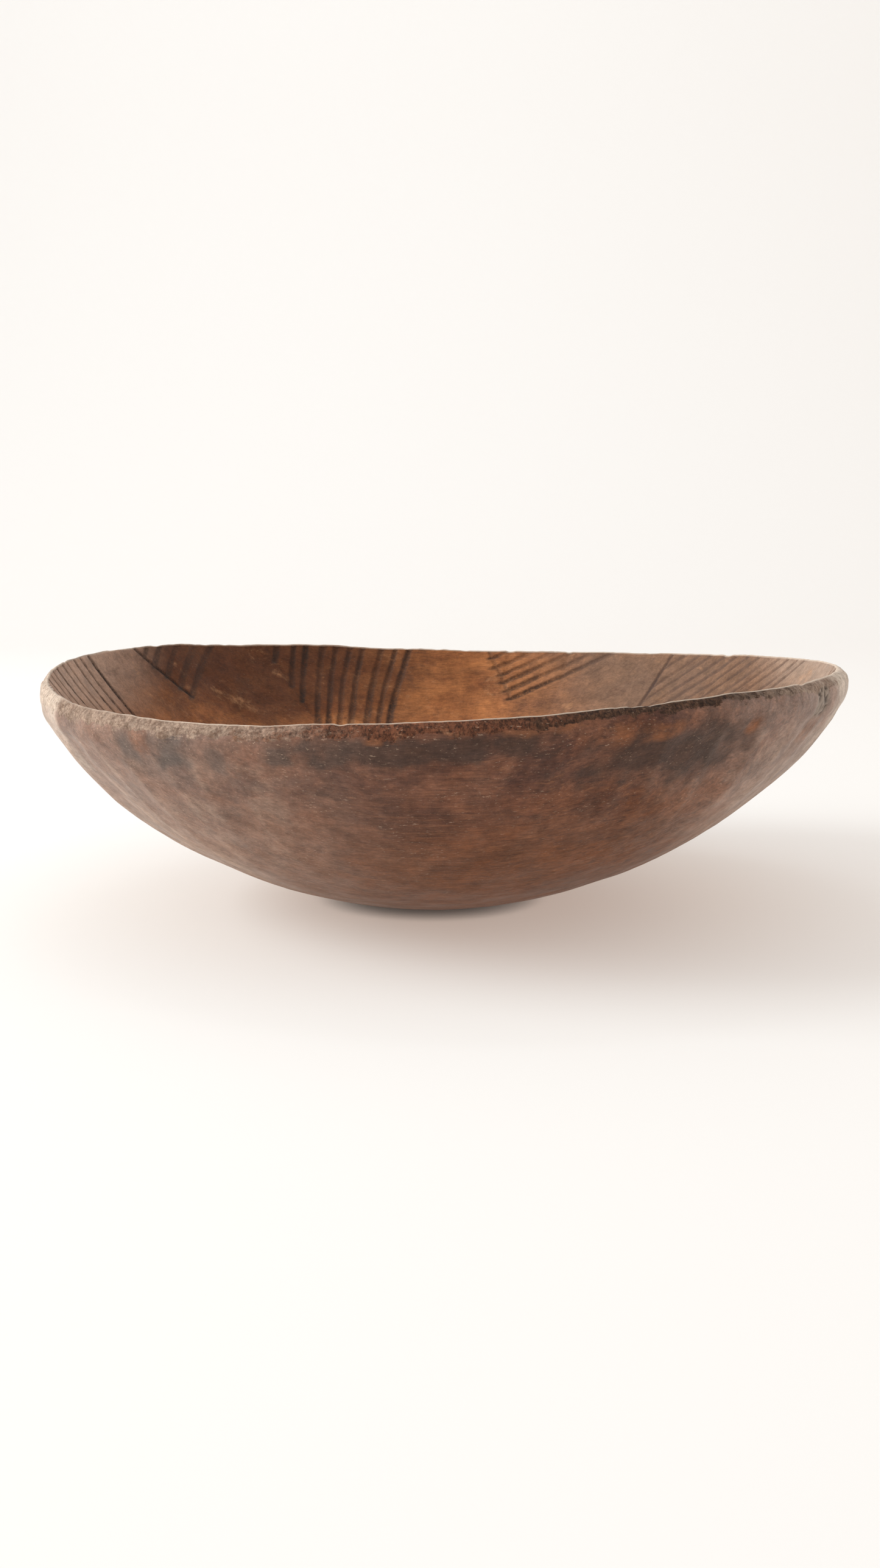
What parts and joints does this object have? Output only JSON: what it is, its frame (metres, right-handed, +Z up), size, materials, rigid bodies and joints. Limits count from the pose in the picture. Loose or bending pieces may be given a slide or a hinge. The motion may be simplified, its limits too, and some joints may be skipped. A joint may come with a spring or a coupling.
{
  "type": "carved wooden bowl",
  "caption": "Shallow oval dugout bowl of dark wood on a small flat foot, with a bevelled, gently warped rim and hatched triangles incised inside the rim.",
  "frame": {"origin": "middle of the underside of the foot, which is the middle of the bowl's outline seen from above", "axes": "+Z up out of the bowl's mouth, +X along the longer diameter, +Y along the shorter one"},
  "size_m": [0.4, 0.386, 0.1225],
  "materials": {
    "wood": "old hand-worked hardwood, matt with a dull polish where it is worn"
  },
  "bodies": {
    "root": {"bowl": "wood"}
  },
  "joints": []
}
